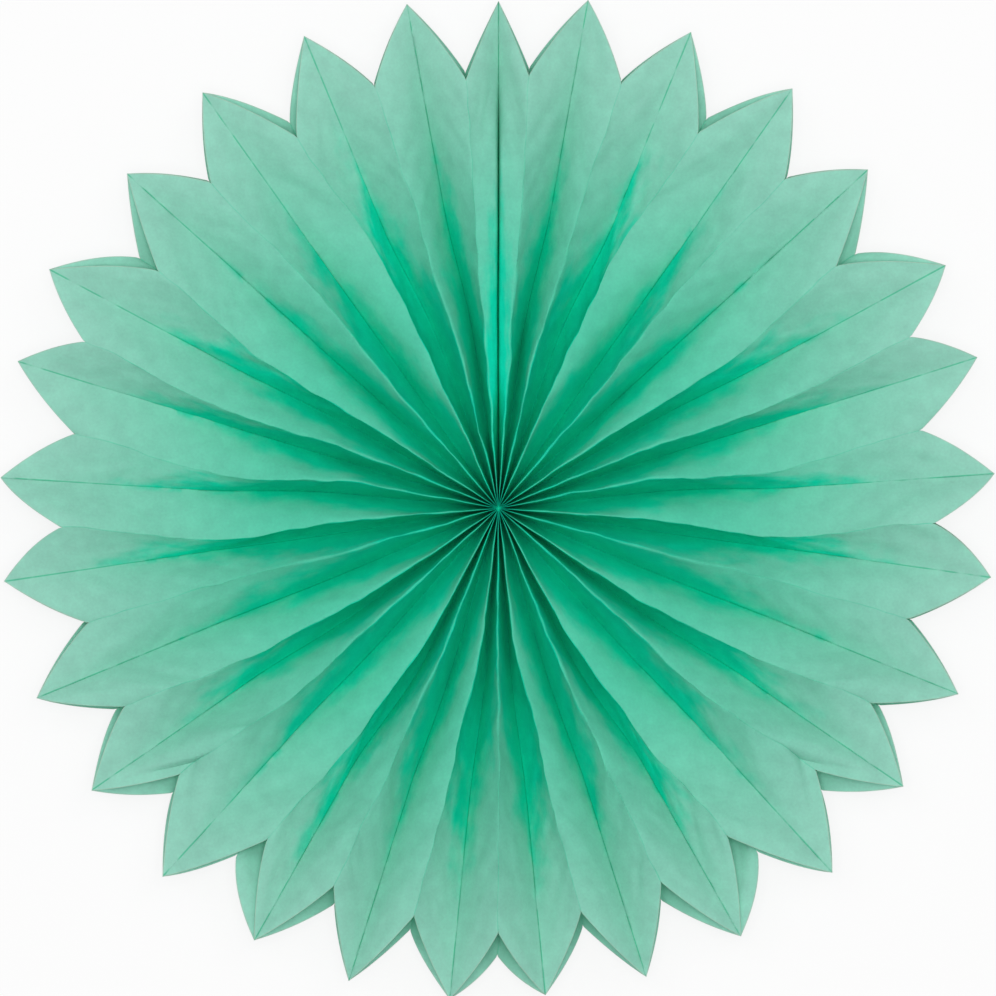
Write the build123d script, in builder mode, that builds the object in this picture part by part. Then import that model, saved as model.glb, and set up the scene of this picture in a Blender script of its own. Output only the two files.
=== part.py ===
from build123d import *
import os
from math import asin, cos, hypot, radians, sin, sqrt

# Honeycomb tissue fan, opened by hand into a full round of pointed petals and lying on its back.
# A petal is two leaves pasted together along their midrib. Neighbouring petals are pasted along
# the front and back edges of their leaves. So each leaf stands on edge at the hub and opens
# into a flatter and flatter fold towards the rim.

# Driving dimensions, in millimetres and degrees
petals = 29
closing_petal_angle = 8.0  # the petal that joins the two ends of the fan is drawn in narrower
leaf_length = 200.0  # hub centre to the tip of a petal
point_length = 25.5  # from the shoulder, where two petals part, out to the tip
point_bulge = 2.4  # rise of the curved side of the point above its chord
rim_depth = 16.0  # front edge to back edge of an evenly spread leaf at its shoulder
least_rise = 4.5  # rise of the free paper where a leaf is drawn as flat as it goes
glue_band = 1.2  # width of a pasted line
gauge = 0.1  # thickness of a leaf where it stands on edge
hub_room = 1.5  # gauges of room for the tightest leaf where the leaves stand side by side at the hub
fold_steps = 5  # flat stretches between the creases of half a leaf
point_snips = 4  # straight cuts that make one curved side of the point

# The hand opens the fan unevenly. The values run from the top of the round down its right side to the
# bottom, and the left side mirrors the right. Turns are degrees clockwise from even spacing.
tip_turns = [0, -0.5, -1, -0.5, -0.5, 1, -0.5, 0.5, -0.5, 1, 1, 1.5, 2, 1.5, 1, 0]
notch_turns = [0, -0.5, -1, -0.5, 0, 0.5, 0, 0, 0.5, 0.5, 1.5, 0.5, 2.5, 1, 0]
middle_turns = [0.5, -1.5, -4.5, -2, 3, 2.5, 3, 4, 0, 4, 3, 6, 2.5, 2.5, 0]
hub_turns = [0, -3.5, -5, -1, 2, 1, -0.5, 2, 1, 6.5, 2.5, 9, 4, 5.5, 0]
hub_share = 0.3  # share of a ridge's length over which it keeps its turn at the hub
middle_share = 0.6  # share of its length at which it has its middle turn
rim_slips = [4, 2, 7, 2, 9, 0, 0, 1, 2, 4, 8, 12, 8, 7, 10]  # back shoulder further out than the front one
curl_share = 0.6  # rise of the curled rim for each millimetre of slip
curl_start = 0.45  # share of a leaf's length at which the curl begins

# The opened fan: ordinary petals share what the closing petal leaves of the circle
petal_angle = (360 - closing_petal_angle) / (petals - 1)
petal_half = radians(petal_angle / 2)
shoulder_radius = leaf_length - point_length

# The free paper between the midrib band and an edge band keeps its width from hub to shoulder
rib_edge = glue_band / 2
edge_bands = rib_edge + glue_band
panel_width = hypot(shoulder_radius * sin(petal_half) - gauge, rim_depth / 2 - edge_bands)
half_depth = panel_width + edge_bands


def polar(radius, direction, height=0):
    """Point at a distance from the hub axis, in a direction clockwise from the top."""
    return Vector(radius * sin(radians(direction)), radius * cos(radians(direction)), height)


def ease(share, start, end):
    """Rise smoothly from 0 at start to 1 at end."""
    way = min(max((share - start) / (end - start), 0), 1)
    return way * way * (3 - 2 * way)


def value_at(values, direction):
    """Value for what even spacing would put in a direction of the right half."""
    return values[round(direction / 180 * (len(values) - 1))]


def even_ridge(ridge):
    """Direction of a ridge of the right half if the fan were evenly spaced."""
    return closing_petal_angle / 2 + ridge * petal_angle


def on_the_right(ridge):
    """The ridge of the right half that has the same lay as this one."""
    return min(ridge % petals, petals - 1 - ridge % petals)


def ridge_direction(ridge, share):
    """Direction, at a share of its length, of the ridge between the petal of this number and the next."""
    if 2 * ridge >= petals:
        return 360 - ridge_direction(on_the_right(ridge), share)
    even = even_ridge(ridge)
    hub = value_at(hub_turns, even)
    middle = value_at(middle_turns, even)
    notch = value_at(notch_turns, even)
    inner = hub + (middle - hub) * ease(share, hub_share, middle_share)
    return even + inner + (notch - inner) * ease(share, middle_share, 1)


def rib_direction(petal, share):
    """Direction of a petal's midrib at a share of its length: at the hub it lies midway between its ridges."""
    if petal == 0:
        return 0
    if 2 * petal > petals:
        return 360 - rib_direction(petals - petal, share)
    even = even_ridge(petal) - petal_angle / 2
    tip = even + value_at(tip_turns, even)
    hub = (ridge_direction(petal - 1, 0) + ridge_direction(petal, 0)) / 2
    return hub + (tip - hub) * ease(share, hub_share, middle_share)


def rim_slip(ridge):
    """Slip between the back and the front shoulder of a ridge."""
    return value_at(rim_slips, even_ridge(on_the_right(ridge)))


def curl(slip, share):
    """Height to which the curl of the rim lifts a line of the leaf at a share of the line's length."""
    return curl_share * slip * share * ease(share, curl_start, 1)


def ridge_rise(ridge, share):
    """Distance of a ridge from the surface of the midribs. The wider of its two sides draws it down."""
    here = ridge_direction(ridge, share)
    spread = max(here - rib_direction(ridge, share), rib_direction(ridge + 1, share) - here)
    width = share * shoulder_radius * sin(radians(spread)) - gauge
    return sqrt(max(panel_width**2 - width**2, least_rise**2)) + edge_bands


def crease_shares():
    """Shares of a ridge's length at which it is creased, from the hub out to the shoulder.

    From the hub, where the leaves stand side by side, the panel of an even leaf turns by equal steps.
    """
    spreads = [ridge_direction(ridge, 0) - rib_direction(ridge, 0) for ridge in range((petals + 1) // 2)]
    hub_radius = hub_room * gauge / sin(radians(min(spreads)))
    last_turn = asin((shoulder_radius * sin(petal_half) - gauge) / panel_width)
    steps = [sin(last_turn * step / fold_steps) / sin(last_turn) for step in range(1, fold_steps + 1)]
    return [hub_radius / shoulder_radius, *steps]


def upright_faces(line, depth):
    """Faces of a pasted band between a line of points and the same line moved by the depth along z."""
    move = Vector(0, 0, depth)
    return [Face(Wire.make_polygon([near, far, far + move, near + move])) for near, far in zip(line, line[1:])]


def make_leaf(number):
    """A leaf of the right half, with its midrib at the hub in the plane z = 0."""
    petal = number // 2
    ridge = (number - 1) // 2
    tip_direction = rib_direction(petal, 1)
    outward = polar(1, tip_direction)
    across = polar(1, tip_direction + (90 if number % 2 else -90))
    petal_slip = (rim_slip(petal - 1) + rim_slip(petal)) / 2
    shares = crease_shares()

    rib = []
    for share in shares:
        radius = share * shoulder_radius * cos(petal_half)
        rib.append(polar(radius, rib_direction(petal, share), curl(petal_slip, radius / leaf_length)))
    tip = polar(leaf_length, tip_direction, curl(petal_slip, 1))

    with BuildPart() as leaf:
        for side in (1, -1):
            # Half of the pasted band along the midrib, which ends in the tip
            rise = Vector(0, 0, side * rib_edge)
            tip_corner = tip - outward * rib_edge + rise
            for face in upright_faces(rib, side * rib_edge):
                extrude(face, gauge, across)
            extrude(Face(Wire.make_polygon([rib[-1], tip, tip_corner, rib[-1] + rise])), gauge, across)

            # Pasted band along the front or back edge, on the upright surface that two petals share
            edge_length = shoulder_radius - side * rim_slip(ridge) / 2
            crest = []
            for share in shares:
                height = side * ridge_rise(ridge, share) + curl(rim_slip(ridge), share)
                crest.append(polar(share * edge_length, ridge_direction(ridge, share), height))
            for face in upright_faces(crest, -side * glue_band):
                extrude(face, gauge, -across)

            # Free paper between the two bands, creased from the midrib in towards the ridge
            rib_side = [point + rise for point in rib]
            fold = [point - across * gauge - Vector(0, 0, side * glue_band) for point in crest]
            for step in range(fold_steps):
                near_rib, far_rib = rib_side[step : step + 2]
                near_fold, far_fold = fold[step : step + 2]
                extrude(Face(Wire.make_polygon([near_rib, far_rib, near_fold])), gauge, across)
                extrude(Face(Wire.make_polygon([far_rib, far_fold, near_fold])), gauge, across)

            # The point, flat from the last crease out to its curved side
            point_line = tip_corner - rib_side[-1]
            point_plane = Plane(
                origin=rib_side[-1],
                x_dir=point_line,
                z_dir=point_line.cross(fold[-1] - rib_side[-1]),
            )
            shoulder = point_plane.to_local_coords(fold[-1])
            with BuildSketch(point_plane):
                with BuildLine():
                    curve = SagittaArc(
                        (point_line.length, 0),
                        (shoulder.X, shoulder.Y),
                        -point_bulge,
                        mode=Mode.PRIVATE,
                    )
                    cuts = [curve @ (snip / point_snips) for snip in range(point_snips + 1)]
                    Polyline((0, 0), *cuts, close=True)
                make_face()
            extrude(amount=gauge, dir=across)
    return leaf.part


# Leaves are numbered clockwise from the closing seam, so the first and the last close the round
os.makedirs("parts", exist_ok=True)
for number in range(1, petals + 1):
    right_leaf = make_leaf(number)
    left_leaf = right_leaf.mirror(Plane.YZ)
    for place, shape in ((number, right_leaf), (2 * petals + 1 - number, left_leaf)):
        with BuildPart() as leaf:
            with Locations((0, 0, half_depth)):
                add(shape)
        leaf.part.label = f"leaf_{place:02d}"
        export_step(leaf.part, f"parts/{leaf.part.label}.step")

print(f"leaf width {2 * half_depth:.2f} mm, which is the depth of the fan")
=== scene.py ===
"""Looks of a honeycomb tissue fan, opened into a round of pointed petals and lying on its back."""

import logging
import math
from dataclasses import dataclass
from enum import Enum

import bpy
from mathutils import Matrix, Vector


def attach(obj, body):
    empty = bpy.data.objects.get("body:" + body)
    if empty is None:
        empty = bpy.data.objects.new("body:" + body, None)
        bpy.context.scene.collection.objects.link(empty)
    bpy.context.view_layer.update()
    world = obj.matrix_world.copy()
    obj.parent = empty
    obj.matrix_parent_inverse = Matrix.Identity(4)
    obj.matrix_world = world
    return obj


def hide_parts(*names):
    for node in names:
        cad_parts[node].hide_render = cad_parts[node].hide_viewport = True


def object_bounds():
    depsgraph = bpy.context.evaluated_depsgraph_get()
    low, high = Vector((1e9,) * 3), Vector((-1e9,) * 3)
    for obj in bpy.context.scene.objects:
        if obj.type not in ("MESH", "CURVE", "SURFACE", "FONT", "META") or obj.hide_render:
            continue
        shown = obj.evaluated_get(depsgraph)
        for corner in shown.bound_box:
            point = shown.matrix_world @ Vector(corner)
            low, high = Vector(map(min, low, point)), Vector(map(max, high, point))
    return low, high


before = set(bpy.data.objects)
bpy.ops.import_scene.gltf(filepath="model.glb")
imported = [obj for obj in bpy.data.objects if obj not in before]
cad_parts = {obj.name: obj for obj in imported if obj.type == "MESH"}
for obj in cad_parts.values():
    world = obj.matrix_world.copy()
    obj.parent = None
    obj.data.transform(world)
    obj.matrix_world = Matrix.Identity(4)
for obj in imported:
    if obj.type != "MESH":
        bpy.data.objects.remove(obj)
cad_low, cad_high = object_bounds()

log = logging.getLogger("rosette")
MM = 0.001
PETALS = 29
BODY = "root"
LEFT_SHIFT = (-0.8, -1.6)  # millimetres by which the rim of the left half lies off the mirrored right half
FULL_LEAN = 5.0  # degrees of turn, near the hub and halfway out together, at which a ridge leans right over

Span = tuple[float, float]  # where something begins to come in, and where it is full


def linear(hex_colour: str) -> tuple[float, float, float, float]:
    """Turn an sRGB colour into the linear one that shaders take.

    Args:
        hex_colour: The colour as #RRGGBB.

    Returns:
        Linear red, green and blue, with full alpha.
    """
    channels = [int(hex_colour[at : at + 2], 16) / 255 for at in (1, 3, 5)]
    curve = [c / 12.92 if c <= 0.04045 else ((c + 0.055) / 1.055) ** 2.4 for c in channels]
    return (*curve, 1.0)


def add_node(tree: bpy.types.NodeTree, kind: str, settings: dict | None = None,
             inputs: dict | None = None) -> bpy.types.Node:
    """Add a node, set it up and link it.

    Args:
        tree: The node tree that takes the node.
        kind: The node's type name.
        settings: Properties of the node by name.
        inputs: Fields or sockets to link and constants to set, by the input's name or number.

    Returns:
        The new node.
    """
    node = tree.nodes.new(kind)
    for name, value in (settings or {}).items():
        setattr(node, name, value)
    for key, value in (inputs or {}).items():
        source = value.socket if isinstance(value, Field) else value
        if isinstance(source, bpy.types.NodeSocket):
            tree.links.new(source, node.inputs[key])
        else:
            node.inputs[key].default_value = source
    return node


class Field:
    """A number that varies over a mesh or a surface.

    Arithmetic on fields adds the Math nodes for it, so a formula reads as it is written.
    """

    def __init__(self, socket: bpy.types.NodeSocket) -> None:
        """Hold the output socket that gives the number."""
        self.socket = socket

    def calc(self, operation: str, *others: "Field | float") -> "Field":
        """Apply a Math operation to this field and to the others, in that order."""
        operands = dict(enumerate((self, *others)))
        node = add_node(self.socket.id_data, "ShaderNodeMath", {"operation": operation}, operands)
        return Field(node.outputs[0])

    def __add__(self, other: "Field | float") -> "Field":
        """Add."""
        return self.calc("ADD", other)

    def __sub__(self, other: "Field | float") -> "Field":
        """Subtract."""
        return self.calc("SUBTRACT", other)

    def __rsub__(self, other: float) -> "Field":
        """Subtract this field from a number."""
        return self.calc("MULTIPLY_ADD", -1.0, other)

    def __mul__(self, other: "Field | float") -> "Field":
        """Multiply."""
        return self.calc("MULTIPLY", other)

    def __truediv__(self, other: "Field | float") -> "Field":
        """Divide."""
        return self.calc("DIVIDE", other)

    def __pow__(self, other: "Field | float") -> "Field":
        """Raise to a power."""
        return self.calc("POWER", other)

    def __rpow__(self, base: float) -> "Field":
        """Raise a number to this field's power."""
        node = add_node(self.socket.id_data, "ShaderNodeMath", {"operation": "POWER"}, {0: base, 1: self})
        return Field(node.outputs[0])

    __radd__ = __add__
    __rmul__ = __mul__

    def smooth(self, low: float, high: float) -> "Field":
        """Rise softly from 0 at low to 1 at high."""
        share = ((self - low) / (high - low)).calc("MAXIMUM", 0.0).calc("MINIMUM", 1.0)
        return share * share * (3.0 - share * 2.0)


def to_left(angle: float, radius: float) -> tuple[float, float]:
    """Find the place on the left half that answers to a place on the rim of the right half.

    Args:
        angle: Degrees clockwise from the top.
        radius: Distance from the hub in millimetres.

    Returns:
        Angle and distance of the place on the left.
    """
    x = LEFT_SHIFT[0] - radius * math.sin(math.radians(angle))
    y = LEFT_SHIFT[1] + radius * math.cos(math.radians(angle))
    return math.degrees(math.atan2(x, y)) % 360.0, math.hypot(x, y)


class Hand(Enum):
    """The side of its petal's midrib on which a leaf lies, seen from the front."""

    CLOCKWISE = 1
    COUNTER = -1


@dataclass(frozen=True)
class Petal:
    """How a petal lies.

    Attributes:
        angle: Where its tip stands, in degrees clockwise from the top.
        reach: Distance of the tip from the hub in millimetres.
        counter_bulge: Rise in millimetres of the curved counterclockwise side of its point.
        clockwise_bulge: The same for the clockwise side.
    """

    angle: float
    reach: float
    counter_bulge: float = 2.6
    clockwise_bulge: float = 2.6

    def mirrored(self) -> "Petal":
        """Give the petal's twin on the left half."""
        return Petal(*to_left(self.angle, self.reach), self.clockwise_bulge, self.counter_bulge)


@dataclass(frozen=True)
class Ridge:
    """How the ridge between two petals lies.

    Attributes:
        angle: Where its outer end, the notch, stands, in degrees clockwise from the top.
        notch: Distance of the notch from the hub in millimetres, midway between front and back.
        inner_turn: Degrees by which the ridge is turned clockwise near the hub.
        middle_turn: Degrees by which it leans clockwise halfway out.
        slip: Millimetres by which the back notch lies further out than the front one.
        front_turn: Degrees by which the front notch is turned clockwise from the back one.
        tilt: How far the ridge leans clockwise, between -1 and 1, where its turns do not tell it.
    """

    angle: float
    notch: float
    inner_turn: float
    middle_turn: float
    slip: float
    front_turn: float = 0.0
    tilt: float | None = None

    def lean(self) -> float:
        """Give how far the ridge leans clockwise, between -1 and 1."""
        if self.tilt is not None:
            return self.tilt
        return max(-1.0, min(1.0, (self.inner_turn + self.middle_turn) / FULL_LEAN))

    def mirrored(self) -> "Ridge":
        """Give the ridge's twin on the left half."""
        return Ridge(*to_left(self.angle, self.notch), -self.inner_turn, -self.middle_turn, self.slip,
                     -self.front_turn, None if self.tilt is None else -self.tilt)


# The right half, clockwise from the closing petal at the top. The left half mirrors it, a little lower.
RIGHT_PETALS = (
    Petal(0.0, 202.5, 1.0, 1.0),
    Petal(10.0, 206.0),
    Petal(22.0, 205.0),
    Petal(35.0, 204.5, 3.2, 2.6),
    Petal(47.5, 200.0, 2.6, 1.4),
    Petal(61.5, 203.0, 4.4, 2.6),
    Petal(72.5, 200.5),
    Petal(86.0, 198.5, 3.2, 3.2),
    Petal(98.0, 198.5, 4.4, 2.6),
    Petal(112.0, 198.0),
    Petal(124.5, 196.0),
    Petal(137.5, 197.0),
    Petal(150.5, 196.0, 4.4, 2.6),
    Petal(162.5, 196.0, 2.6, 1.8),
    Petal(174.5, 195.0),
)
RIGHT_RIDGES = (
    Ridge(4.0, 174.5, 0.0, 0.5, 4.0),
    Ridge(16.0, 177.0, -3.0, -1.0, 2.0, tilt=0.5),
    Ridge(28.0, 172.5, -4.0, -3.5, 7.0),
    Ridge(41.0, 174.5, -0.5, -1.5, 2.0),
    Ridge(54.5, 170.0, 2.0, 3.0, 9.5),
    Ridge(67.5, 177.5, 0.5, 2.0, 0.0),
    Ridge(79.5, 171.0, -0.5, 3.0, 0.0),
    Ridge(92.0, 173.5, 2.0, 4.0, 1.0),
    Ridge(105.0, 169.5, 0.5, -0.5, 2.0),
    Ridge(117.5, 169.0, 6.0, 3.5, 4.0),
    Ridge(131.0, 167.5, 1.0, 1.5, 7.5, -1.5),
    Ridge(143.0, 165.0, 8.5, 5.5, 12.5, 2.0),
    Ridge(157.5, 165.5, 1.5, 0.0, 7.5, -1.0),
    Ridge(168.5, 167.0, 4.5, 1.5, 7.0),
    Ridge(180.0, 173.5, 0.0, 0.0, 10.5),
)


@dataclass(frozen=True)
class DyedTissue:
    """Mint-dyed tissue paper, calendered thin.

    Spans along the leaf are shares of its length from the hub, spans across it are shares of its half
    width from the midrib, and spans of a noise are values between 0 and 1.
    """

    half_width: float
    leaf_length: float
    # Painted shade and light: heart and throat are the deep green of shaded folds, petal and rim the pale
    # mint of open, lit paper
    heart: str = "#00F2D0"
    throat: str = "#00E6C0"
    petal: str = "#66E6C6"
    rim: str = "#B2EADA"
    # The paste colour of the midribs, also laid at the hub as painted shade
    paste_and_hub_shade: str = "#00D2A0"
    cut_edge: str = "#D3D9CB"
    see_through: float = 0.35
    roughness: float = 0.85
    specular: float = 0.15

    # Fibre that shows as clouds and as grain, and streaks drawn out along the leaf that break up the edges
    # of the painted shade and the painted highlight
    cloud_size: float = 7.0 * MM
    fibre_size: float = 1.1 * MM
    streak_size: float = 10.0 * MM
    streak_stretch: float = 0.6
    least_shade: float = 0.83
    cloud_shade: float = 0.2
    fibre_shade: float = 0.14

    # Painted light and shade: how the colour pales from the hub to the rim, and what opens a spot to the
    # light, which paints it pale mint; shut in, it is painted deep green
    heart_span: Span = (0.08, 0.4)
    painted_light_span: Span = (0.35, 1.05)
    open_by_length: float = 0.72
    open_by_spread: float = 0.3
    open_by_streak: float = 0.5
    open_by_width: float = 0.12
    open_by_crown: float = 0.42
    shut_in: float = 0.25
    open_span: Span = (0.52, 0.76)

    # A painted highlight: the pale line along the crest of a ridge
    highlight_width_span: Span = (0.93, 0.96)
    highlight_streak_span: Span = (0.3, 0.7)
    highlight_length_span: Span = (0.01, 0.05)
    highlight_share: float = 0.6

    # The paste along the midrib with its breaks, painted shade at the hub and on the puckers at blots of
    # paste, and the pale cut edge
    paste_width: float = 0.6 * MM
    paste_blur: float = 0.3 * MM
    paste_patch_span: Span = (0.34, 0.54)
    paste_length_span: Span = (0.3, 0.5)
    # How far out from the hub the painted shade reaches
    hub_shade_reach: float = 0.02
    paste_and_hub_shade_share: float = 0.6
    patch_size: float = 9.0 * MM
    # Painted shade of the puckers beside the midrib, at blots of paste
    pucker_shade_width: float = 3.0 * MM
    pucker_shade_core: float = 0.3 * MM
    pucker_shade_patch_span: Span = (0.5, 0.62)
    pucker_shade_start_span: Span = (0.4, 0.5)
    pucker_shade_end_span: Span = (0.66, 0.78)
    pucker_shade_share: float = 0.8
    edge_width: float = 0.7 * MM
    edge_core: float = 0.21 * MM
    edge_share: float = 0.5

    def material(self) -> bpy.types.Material:
        """Build the paper.

        Returns:
            The material that every leaf takes.
        """
        # To the eye: matt and cloudy, with painted shade deep green down in the folds, at the hub and on
        # puckers by the midrib, painted light pale mint where the paper lies open and a painted highlight on
        # the ridge crests, with a broken green line of paste along each midrib and a glow where light comes
        # through
        paper = bpy.data.materials.new("mint dyed tissue paper")
        paper.use_nodes = True
        tree = paper.node_tree
        tree.nodes.clear()
        place = add_node(tree, "ShaderNodeTexCoord").outputs["Object"]
        clouds = add_node(tree, "ShaderNodeTexNoise",
                          inputs={"Vector": place, "Scale": 1 / self.cloud_size, "Detail": 2.0})
        fibres = add_node(tree, "ShaderNodeTexNoise",
                          inputs={"Vector": place, "Scale": 1 / self.fibre_size, "Detail": 2.0})
        shade = (self.least_shade + Field(clouds.outputs["Fac"]) * self.cloud_shade
                 + Field(fibres.outputs["Fac"]) * self.fibre_shade)
        sheet = add_node(tree, "ShaderNodeUVMap", {"uv_map": "sheet"})
        spot = add_node(tree, "ShaderNodeSeparateXYZ", inputs={0: sheet.outputs["UV"]})
        along = Field(spot.outputs["X"])
        sideways = Field(spot.outputs["Y"])
        dyed = self._paste_and_shade(tree, self._dye_and_shade(tree, along, sideways), along, sideways)
        colour = add_node(tree, "ShaderNodeMix", {"data_type": "RGBA", "blend_type": "MULTIPLY"},
                          {0: 1.0, 6: dyed, 7: shade})
        front = add_node(tree, "ShaderNodeBsdfPrincipled",
                         inputs={"Base Color": colour.outputs[2], "Roughness": self.roughness,
                                 "Specular IOR Level": self.specular})
        through = add_node(tree, "ShaderNodeBsdfTranslucent", inputs={"Color": colour.outputs[2]})
        mixed = add_node(tree, "ShaderNodeMixShader",
                         inputs={0: self.see_through, 1: front.outputs[0], 2: through.outputs[0]})
        add_node(tree, "ShaderNodeOutputMaterial", inputs={"Surface": mixed.outputs[0]})
        return paper

    def _stored(self, tree: bpy.types.NodeTree, name: str) -> Field:
        """Read a value that each leaf stores on its mesh."""
        return Field(add_node(tree, "ShaderNodeAttribute", {"attribute_name": name}).outputs["Fac"])

    def _dye_and_shade(self, tree: bpy.types.NodeTree, along: Field, sideways: Field) -> bpy.types.NodeSocket:
        """Colour the sheet with painted shade and light: deep green in the throats between the ridges, pale
        on the open petals, and a painted highlight on the crests.

        Args:
            tree: The material's tree.
            along: Distance of a spot from the hub, on the flat sheet.
            sideways: Its distance from the midrib, below 0 on the back half.

        Returns:
            The colour.
        """
        # Streaks that break up the edges of the painted shade and of the painted highlight
        stretched = add_node(tree, "ShaderNodeCombineXYZ",
                             inputs={"X": along * self.streak_stretch, "Y": sideways})
        streaks = add_node(tree, "ShaderNodeTexNoise", {"noise_dimensions": "4D"},
                          {"Vector": stretched.outputs[0], "W": self._stored(tree, "lot"),
                           "Scale": 1 / self.streak_size, "Detail": 3.0})
        streaked = Field(streaks.outputs["Fac"])
        out = along / self.leaf_length
        width = sideways.calc("ABSOLUTE") / self.half_width
        painted_light = add_node(tree, "ShaderNodeMix", {"data_type": "RGBA"},
                         {0: out.smooth(*self.painted_light_span), 6: linear(self.petal), 7: linear(self.rim)})
        deep = add_node(tree, "ShaderNodeMix", {"data_type": "RGBA"},
                        {0: out.smooth(*self.heart_span), 6: linear(self.heart), 7: linear(self.throat)})
        # Painted shade: deep green where a spot is shut in from the light, painted pale where it lies open
        open_to_light = (out * self.open_by_length + self._stored(tree, "open") * self.open_by_spread
                         + streaked * self.open_by_streak - self.shut_in)
        sides = self.open_by_width + self._stored(tree, "crown") * self.open_by_crown
        open_to_light = open_to_light + width * sides
        dyed = add_node(tree, "ShaderNodeMix", {"data_type": "RGBA"},
                        {0: open_to_light.smooth(*self.open_span), 6: deep.outputs[2], 7: painted_light.outputs[2]})
        # Painted highlight: the pale line along the crest of each ridge
        highlight = width.smooth(*self.highlight_width_span) * streaked.smooth(*self.highlight_streak_span)
        highlight = highlight * out.smooth(*self.highlight_length_span) * self.highlight_share
        crested = add_node(tree, "ShaderNodeMix", {"data_type": "RGBA"},
                           {0: highlight, 6: dyed.outputs[2], 7: linear(self.petal)})
        return crested.outputs[2]

    def _paste_and_shade(self, tree: bpy.types.NodeTree, dyed: bpy.types.NodeSocket, along: Field,
               sideways: Field) -> bpy.types.NodeSocket:
        """Soak the sheet with paste along the midrib, paint shade at the hub and on the puckers beside the
        midrib, and bare its cut edge.

        Args:
            tree: The material's tree.
            dyed: The colour of the dyed sheet, with its painted shade and light.
            along: Distance of a spot from the hub, on the flat sheet.
            sideways: Its distance from the midrib, below 0 on the back half.

        Returns:
            The colour with the paste, the painted shade and the edge.
        """
        place = add_node(tree, "ShaderNodeTexCoord").outputs["Object"]
        out = along / self.leaf_length
        across = sideways.calc("ABSOLUTE")
        spread = add_node(tree, "ShaderNodeTexNoise",
                          inputs={"Vector": place, "Scale": 1 / self.patch_size, "Detail": 2.0})
        patchy = Field(spread.outputs["Fac"])
        # Painted shade: dark dabs of the throat colour beside the midrib, where the paper puckers at blots
        # of paste
        pucker_shade = (1.0 - across.smooth(self.pucker_shade_core, self.pucker_shade_width)) * patchy.smooth(*self.pucker_shade_patch_span)
        pucker_shade = pucker_shade * out.smooth(*self.pucker_shade_start_span) * (1.0 - out.smooth(*self.pucker_shade_end_span))
        line = 1.0 - across.smooth(self.paste_width, self.paste_width + self.paste_blur)
        line = line * patchy.smooth(*self.paste_patch_span) * out.smooth(*self.paste_length_span)
        # Painted shade: the hub darkened with the paste colour
        line = line.calc("MAXIMUM", 1.0 - out.smooth(0.0, self.hub_shade_reach))
        edge = 1.0 - self._stored(tree, "rim").smooth(self.edge_core, self.edge_width)
        pucker_shaded = add_node(tree, "ShaderNodeMix", {"data_type": "RGBA"},
                           {0: pucker_shade * self.pucker_shade_share, 6: dyed, 7: linear(self.throat)})
        pasted = add_node(tree, "ShaderNodeMix", {"data_type": "RGBA"},
                          {0: line * self.paste_and_hub_shade_share, 6: pucker_shaded.outputs[2], 7: linear(self.paste_and_hub_shade)})
        edged = add_node(tree, "ShaderNodeMix", {"data_type": "RGBA"},
                         {0: edge * self.edge_share, 6: pasted.outputs[2], 7: linear(self.cut_edge)})
        return edged.outputs[2]


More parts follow.
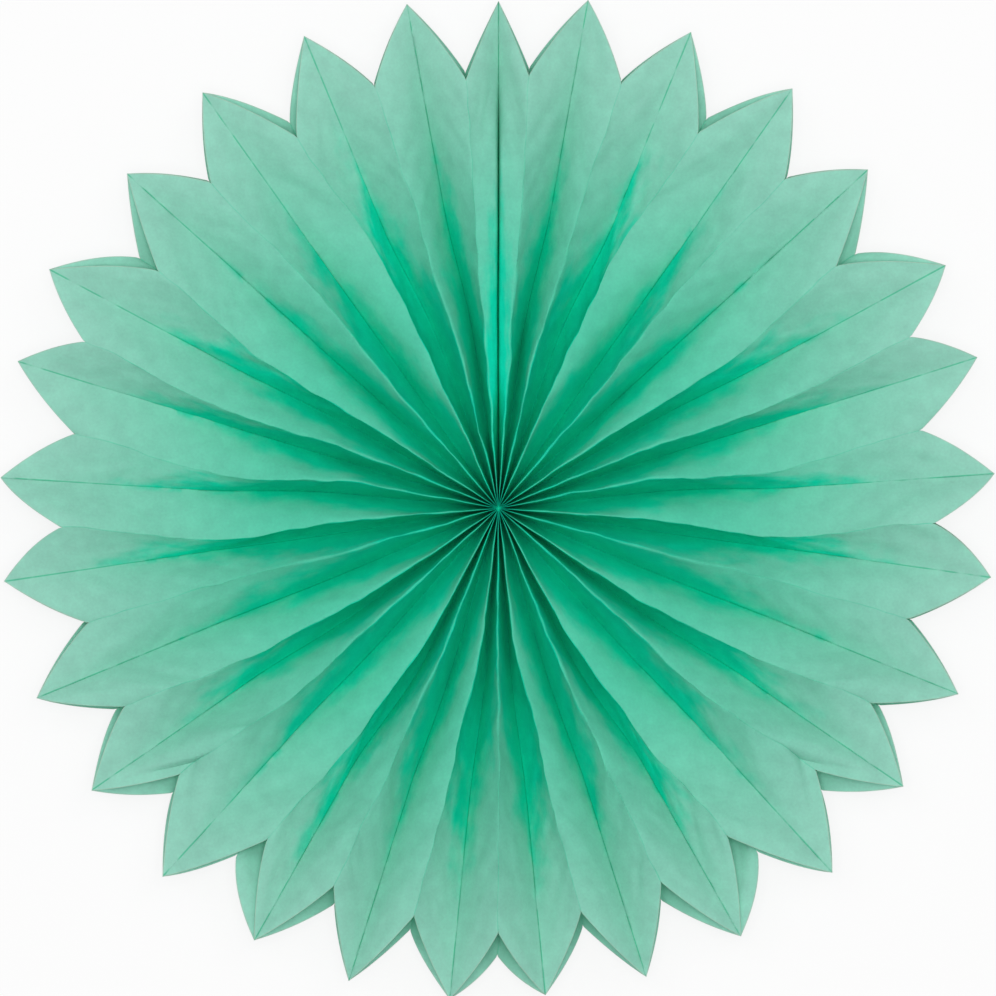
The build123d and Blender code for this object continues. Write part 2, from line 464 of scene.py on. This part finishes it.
@dataclass
class LeafForm:
    """The rule that every leaf follows, as a Geometry Nodes tree.

    A leaf is a strip whose middle line, the midrib, is pasted to the other leaf of its petal, and
    whose front and back edges, the ridges, are pasted to the next petal. The paper keeps its width,
    so it stands on edge where ridge and midrib are close, at the hub, and lies down towards the rim.
    Spans are shares of the leaf's length from the hub.
    """

    half_width: float
    middle_height: float
    hub_radius: float = 0.06 * MM
    gauge: float = 0.1 * MM
    cells_along: int = 90
    cells_across: int = 16
    rib_crowding: float = 1.35  # draws the cells together at the midrib
    sharp_angle: float = 60.0

    # Where a ridge has passed from its turn at the hub to its middle turn, and from that to its notch
    middle_span: Span = (0.3, 0.6)
    notch_span: Span = (0.6, 1.0)

    # How high a ridge stands: the paper bows a little, is never quite flat and sinks in at the hub
    flattest: float = 3.0 * MM
    bow: float = 0.2
    bow_span: Span = (0.12, 0.45)
    navel_depth: float = 5.0 * MM
    navel_span: Span = (0.0, 0.05)

    # The section from the midrib to the ridge
    paste_band: float = 0.6 * MM
    rib_round: float = 0.03
    crown_span: Span = (0.1, 0.35)
    fullest: float = 0.55
    hub_hollow: float = 0.85
    rim_hollow: float = 0.5
    hollow_span: Span = (0.3, 0.8)
    ridge_roll: float = 0.25 * MM
    roll_start: float = 0.93
    roll_limit: float = 0.12
    roll_mean: float = 0.9
    roll_swing: float = 0.8
    roll_waver: float = 12.0 * MM
    roll_in_span: Span = (0.0, 0.1)
    roll_out_span: Span = (0.4, 0.7)

    # The slack paper of the closing petal, pressed together to a slit along its midrib
    slit: float = 14.0
    slit_in_span: Span = (0.05, 0.3)
    slit_out_span: Span = (0.6, 0.9)

    # Wrinkles of the free paper, ruffles of the ridge, the point and the curl of the rim
    wrinkle_depth: float = 0.8 * MM
    wrinkle_size: float = 16.0 * MM
    crease_size: float = 5.0 * MM
    crease_stretch: float = 0.5
    crease_share: float = 0.3
    wrinkle_span: Span = (0.1, 0.4)
    ruffle: float = 0.9 * MM
    ruffle_size: float = 18.0 * MM
    ruffle_room: float = 0.35
    rib_room: float = 0.3
    ridge_overlap: float = 0.2
    point_power: float = 8.0
    curl_span: Span = (0.45, 1.0)

    # A noise keeps near its middle, so the gain brings it to about -1 to 1, and seeds keep wanders apart
    wander_gain: float = 4.0
    roll_seed: float = 1.7
    crease_seed: float = 1.1
    half_seed: float = 0.37

    def __post_init__(self) -> None:
        """Build the tree once for all leaves."""
        self.tree = bpy.data.node_groups.new("honeycomb leaf", "GeometryNodeTree")
        self.inputs: dict[str, str] = {}
        for name in ("Rib Angle", "Rib Inner Turn", "Far Rib Angle", "Far Rib Inner Turn", "Ridge Angle",
                     "Ridge Inner Turn", "Ridge Middle Turn", "Front Turn", "Hand", "Reach", "Point Bulge",
                     "Notch", "Slip", "Rib Lift", "Ridge Lift", "Crown", "Bulge", "Ridge Seed", "Leaf Seed"):
            self._add_input(name, "NodeSocketFloat")
        self._add_input("Paper", "NodeSocketMaterial")
        self.tree.interface.new_socket("Leaf", in_out="OUTPUT", socket_type="NodeSocketGeometry")
        self.given = add_node(self.tree, "NodeGroupInput")
        self._lay_out()

    def _add_input(self, name: str, kind: str) -> None:
        """Add a named input to the tree and keep its identifier."""
        socket = self.tree.interface.new_socket(name, in_out="INPUT", socket_type=kind)
        self.inputs[name] = socket.identifier

    def _input(self, name: str) -> Field:
        """Give a named input as a field."""
        return Field(self.given.outputs[name])

    def _waver(self, along: Field, across: Field, seed: Field, size: float) -> Field:
        """Give a wandering value.

        Args:
            along: Distance from the hub.
            across: Distance from the midrib.
            seed: Which wander it is.
            size: Typical length of one swing.

        Returns:
            A field between about -1 and 1.
        """
        spot = add_node(self.tree, "ShaderNodeCombineXYZ", inputs={"X": along, "Y": across})
        noise = add_node(self.tree, "ShaderNodeTexNoise", {"noise_dimensions": "4D"},
                         {"Vector": spot.outputs[0], "W": seed, "Scale": 1 / size, "Detail": 2.0})
        return Field(noise.outputs["Fac"]) * self.wander_gain - self.wander_gain / 2

    def _directions(self, out: Field, side: Field) -> tuple[Field, Field, Field]:
        """Find which way the lines of the leaf run.

        Args:
            out: Share of the leaf's length.
            side: 1 on the front half of the leaf and -1 on its back half.

        Returns:
            The angles of the leaf's midrib, of its ridge and of the midrib beyond that ridge.
        """
        inner = 1.0 - out.smooth(*self.middle_span)
        middle = out.smooth(*self.middle_span) * (1.0 - out.smooth(*self.notch_span))
        front = (side + 1.0) * 0.5 * out.smooth(*self.notch_span)
        rib = self._input("Rib Angle") + self._input("Rib Inner Turn") * inner
        far_rib = self._input("Far Rib Angle") + self._input("Far Rib Inner Turn") * inner
        ridge = (self._input("Ridge Angle") + self._input("Ridge Inner Turn") * inner
                 + self._input("Ridge Middle Turn") * middle + self._input("Front Turn") * front)
        return rib, ridge, far_rib

    def _ridge_height(self, out: Field, gap: Field) -> Field:
        """Find how high the ridge stands over the midrib, from the width that the paper keeps.

        Args:
            out: Share of the leaf's length.
            gap: How far the ridge stands from the further of its two midribs.

        Returns:
            The height.
        """
        power = 2.0 - out.smooth(*self.bow_span) * self.bow
        spare = (self.half_width ** power - gap ** power).calc("MAXIMUM", 0.0)
        height = (spare ** (power ** -1.0)).calc("MAXIMUM", self.flattest)
        return height - (1.0 - out.smooth(*self.navel_span)) * self.navel_depth

    def _section(self, out: Field, share: Field, roll: Field, height: Field) -> tuple[Field, Field]:
        """Shape the section of the leaf from its midrib to its ridge.

        It is full on the side to which the ridge pulls the paper over and a trough on the other side,
        with the edge rolled over at the top.

        Args:
            out: Share of the leaf's length.
            share: Share of the half width, from the midrib.
            roll: Share of the gap that the rolled edge takes.
            height: How high the ridge stands.

        Returns:
            How far a spot has come from the midrib to the ridge, as a share, and its height.
        """
        pasted = (1 / self.cells_across) ** self.rib_crowding
        climb = ((share - pasted) / (self.roll_start - pasted)).calc("MAXIMUM", 0.0).calc("MINIMUM", 1.0)
        left = 1.0 - climb
        crown = self._input("Crown") * out.smooth(*self.crown_span)
        hollow = self.hub_hollow + out.smooth(*self.hollow_span) * (self.rim_hollow - self.hub_hollow)
        hollow = hollow * (1.0 - crown)
        away = (climb + climb * left * hollow) * (1.0 - roll) + share.smooth(self.roll_start, 1.0) * roll
        bend = self.rib_round
        rounded = ((climb * climb + bend ** 2) ** 0.5 - bend) / (math.hypot(1.0, bend) - bend)
        up = rounded + climb * left * crown * self.fullest
        bulge = self._input("Bulge") * out.smooth(*self.slit_in_span)
        bulge = bulge * (1.0 - out.smooth(*self.slit_out_span))
        up = up * (1.0 - bulge) + (1.0 - left ** self.slit) * bulge
        away = away ** (1.0 + bulge)
        band = (share / pasted).calc("MINIMUM", 1.0) * self.paste_band
        return away, (height - self.paste_band) * up + band

    def _lay_out(self) -> None:
        """Shape a flat grid into the leaf and give it its paper coordinates."""
        grid = add_node(self.tree, "GeometryNodeMeshGrid",
                        inputs={"Size X": 1.0, "Size Y": 2.0, "Vertices X": self.cells_along + 1,
                                "Vertices Y": 2 * self.cells_across + 1})
        position = add_node(self.tree, "GeometryNodeInputPosition")
        cell = add_node(self.tree, "ShaderNodeSeparateXYZ", inputs={0: position.outputs[0]})
        out = Field(cell.outputs["X"]) + 0.5
        side = Field(cell.outputs["Y"]).calc("SIGN")
        share = Field(cell.outputs["Y"]).calc("ABSOLUTE") ** self.rib_crowding
        rib_angle, ridge_angle, far_angle = self._directions(out, side)

        # Distances from the hub along the midrib and along the ridge, and gaps between these lines
        notch = self._input("Notch") - side * self._input("Slip") * 0.5
        rib_out = self.hub_radius + (self._input("Reach") - self.hub_radius) * out
        ridge_out = self.hub_radius + (notch - self.hub_radius) * out
        own_gap = ridge_out * (ridge_angle - rib_angle).calc("ABSOLUTE").calc("SINE")
        far_gap = ridge_out * (far_angle - ridge_angle).calc("ABSOLUTE").calc("SINE")

        # The rolled edge of the ridge, and the section up to it
        ridge_line = side * 0.0
        ridge_seed = self._input("Ridge Seed")
        roll = self._waver(ridge_out, ridge_line, ridge_seed + self.roll_seed, self.roll_waver)
        roll = (roll * self.roll_swing + self.roll_mean) * self.ridge_roll
        roll = roll * out.smooth(*self.roll_in_span) * (1.0 - out.smooth(*self.roll_out_span))
        roll = (roll / own_gap).calc("MINIMUM", self.roll_limit)
        ridge_height = self._ridge_height(out, own_gap.calc("MAXIMUM", far_gap))
        away, height = self._section(out, share, roll, ridge_height)

        # Wrinkles of the free paper and ruffles of the ridge
        belly = share * (1.0 - share) * 4.0
        across = side * share * self.half_width
        leaf_seed = self._input("Leaf Seed")
        broad = self._waver(rib_out, across, leaf_seed, self.wrinkle_size)
        crease_seed = leaf_seed + self.crease_seed
        fine = self._waver(rib_out * self.crease_stretch, across, crease_seed, self.crease_size)
        wrinkle = (broad + fine * self.crease_share) * belly
        wrinkle = wrinkle * out.smooth(*self.wrinkle_span) * self.wrinkle_depth
        ruffle_seed = ridge_seed + side * self.half_seed
        ruffle = self._waver(ridge_out, ridge_line, ruffle_seed, self.ruffle_size)
        room = own_gap.calc("MINIMUM", far_gap) * self.ruffle_room
        ruffle = ruffle * room.calc("MINIMUM", self.ruffle)

        # Into the round, with the two leaves of a pasted pair side by side
        rib_off = self._input("Hand") * (own_gap * self.rib_room).calc("MINIMUM", self.gauge / 2)
        ridge_off = ruffle - rib_off * self.ridge_overlap
        rib_x = rib_out * rib_angle.calc("SINE") + rib_off * rib_angle.calc("COSINE")
        rib_y = rib_out * rib_angle.calc("COSINE") - rib_off * rib_angle.calc("SINE")
        ridge_x = ridge_out * ridge_angle.calc("SINE") + ridge_off * ridge_angle.calc("COSINE")
        ridge_y = ridge_out * ridge_angle.calc("COSINE") - ridge_off * ridge_angle.calc("SINE")
        point = belly * out ** self.point_power * self._input("Point Bulge")
        rise = out.smooth(*self.curl_span) * out
        lift = self._input("Rib Lift") + (self._input("Ridge Lift") - self._input("Rib Lift")) * away
        place = {"X": rib_x + (ridge_x - rib_x) * away + point * rib_angle.calc("SINE"),
                 "Y": rib_y + (ridge_y - rib_y) * away + point * rib_angle.calc("COSINE"),
                 "Z": self.middle_height + side * height + wrinkle + lift * rise}

        sheet = {"X": rib_out + (ridge_out - rib_out) * share, "Y": across}
        # What the material reads: the cut edge, the seed of its streaks, and crown and open, which set how
        # much painted shade a spot gets
        stored = {"rim": (1.0 - out) * self._input("Reach"), "lot": leaf_seed, "crown": self._input("Crown"),
                  "open": own_gap / self.half_width}
        self._finish(grid, place, sheet, stored)

    def _finish(self, grid: bpy.types.Node, place: dict, sheet: dict, stored: dict) -> None:
        """Move the grid into place and store what the paper's material reads.

        Args:
            grid: The node that makes the flat grid.
            place: Where each point goes, by axis.
            sheet: Where each point lies on the flat sheet, by axis.
            stored: Further values by name.
        """
        tree = self.tree
        flat = add_node(tree, "ShaderNodeCombineXYZ", inputs=sheet)
        shaped = add_node(tree, "ShaderNodeCombineXYZ", inputs=place)
        marked = add_node(tree, "GeometryNodeStoreNamedAttribute",
                          {"data_type": "FLOAT2", "domain": "CORNER"},
                          {"Geometry": grid.outputs["Mesh"], "Name": "sheet", "Value": flat.outputs[0]})
        for name, value in stored.items():
            marked = add_node(tree, "GeometryNodeStoreNamedAttribute",
                              {"data_type": "FLOAT", "domain": "POINT"},
                              {"Geometry": marked.outputs[0], "Name": name, "Value": value})
        moved = add_node(tree, "GeometryNodeSetPosition",
                         inputs={"Geometry": marked.outputs[0], "Position": shaped.outputs[0]})
        softened = add_node(tree, "GeometryNodeSetShadeSmooth", inputs={"Geometry": moved.outputs[0]})
        real = add_node(tree, "GeometryNodeRealizeInstances", inputs={"Geometry": softened.outputs[0]})
        dressed = add_node(tree, "GeometryNodeSetMaterial",
                           inputs={"Geometry": real.outputs[0], "Material": self._input("Paper")})
        add_node(tree, "NodeGroupOutput", inputs={0: dressed.outputs[0]})

    def make(self, name: str, values: dict) -> bpy.types.Object:
        """Make one leaf as a plain closed mesh.

        Args:
            name: The name of the piece.
            values: The tree's inputs by name.

        Returns:
            The leaf, at the origin.
        """
        blank = bpy.data.objects.new(f"{name}_blank", bpy.data.meshes.new(f"{name}_blank"))
        bpy.context.scene.collection.objects.link(blank)
        rule = blank.modifiers.new("leaf", "NODES")
        rule.node_group = self.tree
        for key, value in values.items():
            rule[self.inputs[key]] = value
        thick = blank.modifiers.new("gauge", "SOLIDIFY")
        thick.thickness = self.gauge
        thick.offset = 0.0
        baked = bpy.data.meshes.new_from_object(blank.evaluated_get(bpy.context.evaluated_depsgraph_get()))
        baked.name = name
        baked.set_sharp_from_angle(angle=math.radians(self.sharp_angle))
        bpy.data.objects.remove(blank)
        leaf = bpy.data.objects.new(name, baked)
        bpy.context.scene.collection.objects.link(leaf)
        return leaf


@dataclass
class Rosette:
    """The round of leaves, two to a petal.

    Attributes:
        form: The rule of a leaf.
        paper: What the leaves are made of.
        lift_share: Rise of the curled rim for each millimetre of slip.
        rib_lean: How far the midribs shift at the hub, under the ridges that lean over them.
        closing_bulge: How slack the paper of the closing petal is, from 0 to 1.
        ridge_seed_step: Step of the seed from ridge to ridge.
        leaf_seed_step: Step of the seed from leaf to leaf.
    """

    form: LeafForm
    paper: bpy.types.Material
    lift_share: float = 0.6
    rib_lean: float = 0.45
    closing_bulge: float = 0.9
    ridge_seed_step: float = 5.0
    leaf_seed_step: float = 3.0

    def __post_init__(self) -> None:
        """Complete the round from its right half."""
        left_petals = [petal.mirrored() for petal in reversed(RIGHT_PETALS[1:])]
        left_ridges = [ridge.mirrored() for ridge in reversed(RIGHT_RIDGES[:-1])]
        self.petals = [*RIGHT_PETALS, *left_petals]
        self.ridges = [*RIGHT_RIDGES, *left_ridges]

    def _near(self, angle: float, other: float) -> float:
        """Give the second angle within half a turn of the first."""
        return angle + (other - angle + 180.0) % 360.0 - 180.0

    def _rib(self, petal: int, near: float) -> tuple[float, float]:
        """Give the direction of a midrib.

        Args:
            petal: The petal's place in the round.
            near: An angle close to the one that is wanted.

        Returns:
            The angle of the midrib's tip and its turn near the hub, where the ridges lean over it.
        """
        tip = self._near(near, self.petals[petal].angle)
        sides = (self.ridges[petal - 1], self.ridges[petal])
        inner = [self._near(tip, ridge.angle) + ridge.inner_turn for ridge in sides]
        lean = self.rib_lean * sum(ridge.lean() for ridge in sides) / 2
        return tip, (sum(inner) - lean * (inner[1] - inner[0])) / 2 - tip

    def leaf_values(self, number: int) -> dict:
        """Work out the inputs of one leaf.

        Args:
            number: The leaf's number, clockwise from the closing seam, from 1.

        Returns:
            The values for the leaf's tree by name, angles in radians and lengths in metres.
        """
        hand = Hand.CLOCKWISE if number % 2 else Hand.COUNTER
        petal_at = number // 2 % PETALS
        ridge_at = (number + 1) // 2 - 1
        petal = self.petals[petal_at]
        ridge = self.ridges[ridge_at]
        tip, tip_turn = self._rib(petal_at, ridge.angle)
        far, far_turn = self._rib((petal_at + hand.value) % PETALS, ridge.angle)
        slip = (self.ridges[petal_at - 1].slip + self.ridges[petal_at].slip) / 2
        bulge = petal.clockwise_bulge if hand is Hand.CLOCKWISE else petal.counter_bulge
        angles = {"Rib Angle": tip, "Rib Inner Turn": tip_turn, "Far Rib Angle": far,
                  "Far Rib Inner Turn": far_turn, "Ridge Angle": ridge.angle,
                  "Ridge Inner Turn": ridge.inner_turn, "Ridge Middle Turn": ridge.middle_turn,
                  "Front Turn": ridge.front_turn}
        lengths = {"Reach": petal.reach, "Point Bulge": bulge, "Notch": ridge.notch, "Slip": ridge.slip,
                   "Rib Lift": slip * self.lift_share, "Ridge Lift": ridge.slip * self.lift_share}
        plain = {"Hand": float(hand.value), "Ridge Seed": self.ridge_seed_step * ridge_at,
                 "Leaf Seed": self.leaf_seed_step * number, "Crown": (1.0 + hand.value * ridge.lean()) / 2,
                 "Bulge": 0.0 if petal_at else self.closing_bulge}
        values = {name: math.radians(value) for name, value in angles.items()}
        values |= {name: value * MM for name, value in lengths.items()}
        return values | plain | {"Paper": self.paper}

    def build(self) -> list[bpy.types.Object]:
        """Make every leaf and put it in place of its plain solid.

        Returns:
            The leaves in order.
        """
        leaves = []
        for number in range(1, 2 * PETALS + 1):
            node = f"leaf_{number:02d}"
            leaf = self.form.make(f"tissue_{node}", self.leaf_values(number))
            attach(leaf, BODY)
            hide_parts(node)
            leaves.append(leaf)
        return leaves


@dataclass(frozen=True)
class WhiteTable:
    """Plain white table top.

    Attributes:
        grey: Share of the light that it throws back.
        glow: How far it shows plain white to the eye, over its shadow.
    """

    grey: float = 0.9
    glow: float = 0.85

    def material(self) -> bpy.types.Material:
        """Build the table top.

        Returns:
            The material of the table.
        """
        # To the eye: a plain white ground with a faint shadow under the fan
        white = bpy.data.materials.new("white table")
        white.use_nodes = True
        tree = white.node_tree
        tree.nodes.clear()
        path = add_node(tree, "ShaderNodeLightPath")
        seen = Field(path.outputs["Is Camera Ray"]) + Field(path.outputs["Is Glossy Ray"])
        plain = (self.grey, self.grey, self.grey, 1.0)
        lit = add_node(tree, "ShaderNodeBsdfDiffuse", inputs={"Color": plain})
        bright = add_node(tree, "ShaderNodeEmission", inputs={"Strength": 1.0})
        mixed = add_node(tree, "ShaderNodeMixShader",
                         inputs={0: seen * self.glow, 1: lit.outputs[0], 2: bright.outputs[0]})
        add_node(tree, "ShaderNodeOutputMaterial", inputs={"Surface": mixed.outputs[0]})
        return white


@dataclass
class Studio:
    """White table, soft light and a camera that looks straight down on the round.

    Lengths are in metres and powers in watts.
    """

    middle_height: float
    frame_width: float = 398.4 * MM
    camera_distance: float = 3.0
    camera_x: float = -0.2 * MM
    camera_y: float = 4.1 * MM
    sensor: float = 36.0
    floor_size: float = 6.0
    sky: float = 0.36
    lamp_size: float = 0.5
    side_power: float = 2.0
    side_place: tuple[float, float, float] = (0.4, 0.35, 1.2)
    side_aim: float = 0.1
    front_power: float = 11.5
    front_height: float = 1.6

    def build(self) -> None:
        """Set up floor, light and camera."""
        bpy.context.scene.view_settings.view_transform = "Standard"
        self._floor()
        self._sky()
        x, y, z = self.side_place
        for name, way in (("right", 1.0), ("left", -1.0)):
            aim = Vector((self.side_aim * way, 0.0, self.middle_height))
            self._lamp(f"softbox {name}", self.side_power, Vector((x * way, y, z)), aim)
        middle = Vector((0.0, 0.0, self.middle_height))
        self._lamp("softbox front", self.front_power, middle + Vector((0.0, 0.0, self.front_height)), middle)
        self._camera()

    def _floor(self) -> None:
        """Lay a white table that keeps the shadow."""
        half = self.floor_size / 2
        corners = [(-half, -half, 0), (half, -half, 0), (half, half, 0), (-half, half, 0)]
        mesh = bpy.data.meshes.new("table")
        mesh.from_pydata(corners, [], [(0, 1, 2, 3)])
        floor = bpy.data.objects.new("table", mesh)
        bpy.context.scene.collection.objects.link(floor)
        mesh.materials.append(WhiteTable().material())

    def _sky(self) -> None:
        """Light the room evenly."""
        world = bpy.data.worlds.new("studio")
        world.use_nodes = True
        background = world.node_tree.nodes["Background"]
        background.inputs["Color"].default_value = (1.0, 1.0, 1.0, 1.0)
        background.inputs["Strength"].default_value = self.sky
        bpy.context.scene.world = world

    def _lamp(self, name: str, power: float, place: Vector, aim: Vector) -> None:
        """Hang a softbox.

        Args:
            name: The name of the lamp.
            power: Its power in watts.
            place: Where it hangs.
            aim: The point that it lights.
        """
        lamp = bpy.data.lights.new(name, "AREA")
        lamp.energy = power
        lamp.size = self.lamp_size
        stand = bpy.data.objects.new(name, lamp)
        stand.location = place
        stand.rotation_euler = (aim - place).to_track_quat("-Z", "Y").to_euler()
        bpy.context.scene.collection.objects.link(stand)

    def _camera(self) -> None:
        """Look straight down through a long lens."""
        lens = bpy.data.cameras.new("camera")
        lens.sensor_width = self.sensor
        lens.lens = self.sensor * self.camera_distance / self.frame_width
        camera = bpy.data.objects.new("camera", lens)
        camera.location = (self.camera_x, self.camera_y, self.middle_height + self.camera_distance)
        bpy.context.scene.collection.objects.link(camera)
        bpy.context.scene.camera = camera


def main() -> None:
    """Build the rosette and its studio."""
    logging.basicConfig(level=logging.INFO, format="%(message)s")
    middle = (cad_low.z + cad_high.z) / 2
    half_width = (cad_high.z - cad_low.z) / 2
    form = LeafForm(half_width=half_width, middle_height=middle)
    paper = DyedTissue(half_width=half_width, leaf_length=cad_high.y)
    rosette = Rosette(form, paper.material())
    for leaf in rosette.build():
        log.info("%s: %d faces", leaf.name, len(leaf.data.polygons))
    Studio(middle_height=middle).build()


if __name__ == "__main__":
    main()
